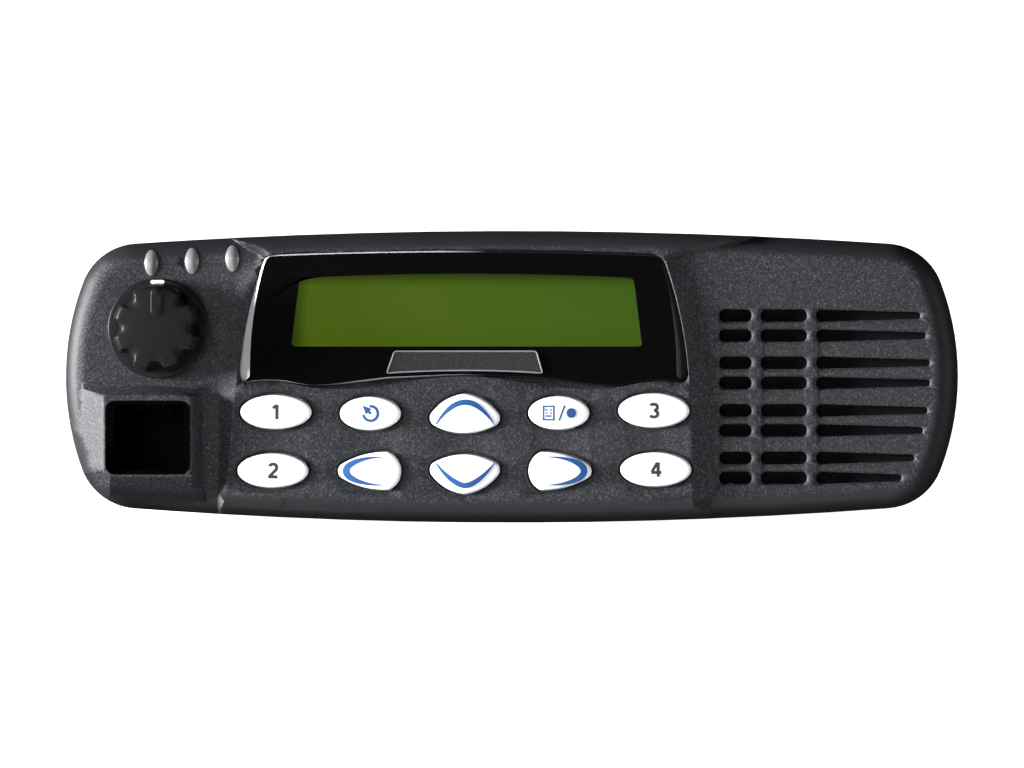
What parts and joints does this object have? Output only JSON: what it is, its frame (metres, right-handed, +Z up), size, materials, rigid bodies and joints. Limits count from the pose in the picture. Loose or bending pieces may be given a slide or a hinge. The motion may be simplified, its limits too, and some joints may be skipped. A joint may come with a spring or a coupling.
{
  "type": "two-way mobile radio",
  "caption": "Vehicle two-way radio with a display, white keys, volume knob, speaker grille and microphone socket on its head, and a finned cast chassis with rear sockets behind.",
  "frame": {"origin": "centre of the footprint, on the surface that the radio stands on", "axes": "+X to the right seen from the front, +Y towards the rear sockets, +Z up"},
  "size_m": [0.179, 0.195, 0.0585],
  "materials": {
    "housing_plastic": "fine spark-eroded grain",
    "window_black": "polished lens, printed black on its back",
    "badge_grey": "fine grain",
    "display_glass": "green backlit display cell",
    "light_guide": "milky moulded acrylic",
    "holder_plastic": "moulded",
    "pipe_clear": "clear grey moulding",
    "led_body": "cast lens",
    "knob_plastic": "smooth satin moulding",
    "shaft_brass": "turned",
    "control_metal": "pressed can and turned bushing",
    "key_white": "satin printed cap",
    "mat_rubber": "moulded silicone",
    "contact_metal": "pressed domes",
    "board_green": "solder mask",
    "screw_steel": "zinc plated",
    "socket_plastic": "glass-filled moulding",
    "contact_gold": "gold-flashed",
    "speaker_fabric": "open weave",
    "gasket_foam": "closed-cell foam",
    "speaker_steel": "pressed basket",
    "cone_paper": "pressed pulp",
    "magnet_ferrite": "ferrite ring",
    "clip_steel": "pressed",
    "ribbon_film": "polyimide film",
    "chassis_casting": "black-painted die casting",
    "cover_casting": "black satin paint",
    "chip_black": "moulded package",
    "shield_tin": "tinned sheet",
    "capacitor_sleeve": "shrunk sleeve",
    "coil_ferrite": "wound core",
    "crystal_case": "pressed can",
    "antenna_nickel": "nickel-plated",
    "insulator_white": "turned insulator"
  },
  "bodies": {
    "radio": {"front_housing": "housing_plastic", "display_window": "window_black", "badge_plate": "badge_grey", "lcd_glass": "display_glass", "lcd_holder": "holder_plastic", "backlight_guide": "light_guide", "status_light_pipe": "pipe_clear", "status_leds": "led_body", "volume_control": "control_metal", "volume_nut": "control_metal", "keypad_mat": "mat_rubber", "key_contacts": "contact_metal", "control_board": "board_green", "control_board_screws": "screw_steel", "microphone_jack": "socket_plastic", "jack_contacts": "contact_gold", "speaker_cloth": "speaker_fabric", "speaker_gasket": "gasket_foam", "speaker_frame": "speaker_steel", "speaker_cone": "cone_paper", "speaker_magnet": "magnet_ferrite", "speaker_clips": "clip_steel", "speaker_clip_screws": "screw_steel", "flex_ribbon": "ribbon_film", "head_link_socket": "socket_plastic", "board_link_socket": "socket_plastic", "head_seal": "mat_rubber", "head_screws": "screw_steel", "chassis": "chassis_casting", "cover_seal": "mat_rubber", "top_cover": "cover_casting", "cover_screws": "screw_steel", "main_board": "board_green", "main_board_screws": "screw_steel", "power_amplifier": "chip_black", "shield_cans": "shield_tin", "logic_chips": "chip_black", "filter_capacitors": "capacitor_sleeve", "filter_coils": "coil_ferrite", "reference_crystal": "crystal_case", "antenna_socket": "antenna_nickel", "antenna_insulator": "insulator_white", "antenna_contact": "contact_gold", "antenna_nut": "antenna_nickel", "power_socket": "socket_plastic", "power_pins": "contact_gold", "accessory_socket": "socket_plastic", "accessory_pins": "contact_gold"},
    "volume_knob_body": {"volume_knob": "knob_plastic", "volume_shaft": "shaft_brass"},
    "key_1_body": {"key_1": "key_white"},
    "key_2_body": {"key_2": "key_white"},
    "key_3_body": {"key_3": "key_white"},
    "key_4_body": {"key_4": "key_white"},
    "key_back_body": {"key_back": "key_white"},
    "key_menu_body": {"key_menu": "key_white"},
    "key_up_body": {"key_up": "key_white"},
    "key_down_body": {"key_down": "key_white"},
    "key_left_body": {"key_left": "key_white"},
    "key_right_body": {"key_right": "key_white"}
  },
  "joints": [
    {"name": "volume_turn", "type": "hinge", "parent": "radio", "child": "volume_knob_body", "pos_m": [-0.0709, -0.0885, 0.03896], "axis": [0, 1, 0], "range_deg": [-150, 150]},
    {"name": "key_1_press", "type": "slide", "parent": "radio", "child": "key_1_body", "axis": [0, 1, 0], "range_m": [0, 0.0008], "stiffness_N_per_m": 400, "springref_m": -0.002},
    {"name": "key_2_press", "type": "slide", "parent": "radio", "child": "key_2_body", "axis": [0, 1, 0], "range_m": [0, 0.0008], "stiffness_N_per_m": 400, "springref_m": -0.002},
    {"name": "key_3_press", "type": "slide", "parent": "radio", "child": "key_3_body", "axis": [0, 1, 0], "range_m": [0, 0.0008], "stiffness_N_per_m": 400, "springref_m": -0.002},
    {"name": "key_4_press", "type": "slide", "parent": "radio", "child": "key_4_body", "axis": [0, 1, 0], "range_m": [0, 0.0008], "stiffness_N_per_m": 400, "springref_m": -0.002},
    {"name": "key_back_press", "type": "slide", "parent": "radio", "child": "key_back_body", "axis": [0, 1, 0], "range_m": [0, 0.0008], "stiffness_N_per_m": 400, "springref_m": -0.002},
    {"name": "key_menu_press", "type": "slide", "parent": "radio", "child": "key_menu_body", "axis": [0, 1, 0], "range_m": [0, 0.0008], "stiffness_N_per_m": 400, "springref_m": -0.002},
    {"name": "key_up_press", "type": "slide", "parent": "radio", "child": "key_up_body", "axis": [0, 1, 0], "range_m": [0, 0.0008], "stiffness_N_per_m": 400, "springref_m": -0.002},
    {"name": "key_down_press", "type": "slide", "parent": "radio", "child": "key_down_body", "axis": [0, 1, 0], "range_m": [0, 0.0008], "stiffness_N_per_m": 400, "springref_m": -0.002},
    {"name": "key_left_press", "type": "slide", "parent": "radio", "child": "key_left_body", "axis": [0, 1, 0], "range_m": [0, 0.0008], "stiffness_N_per_m": 400, "springref_m": -0.002},
    {"name": "key_right_press", "type": "slide", "parent": "radio", "child": "key_right_body", "axis": [0, 1, 0], "range_m": [0, 0.0008], "stiffness_N_per_m": 400, "springref_m": -0.002}
  ]
}
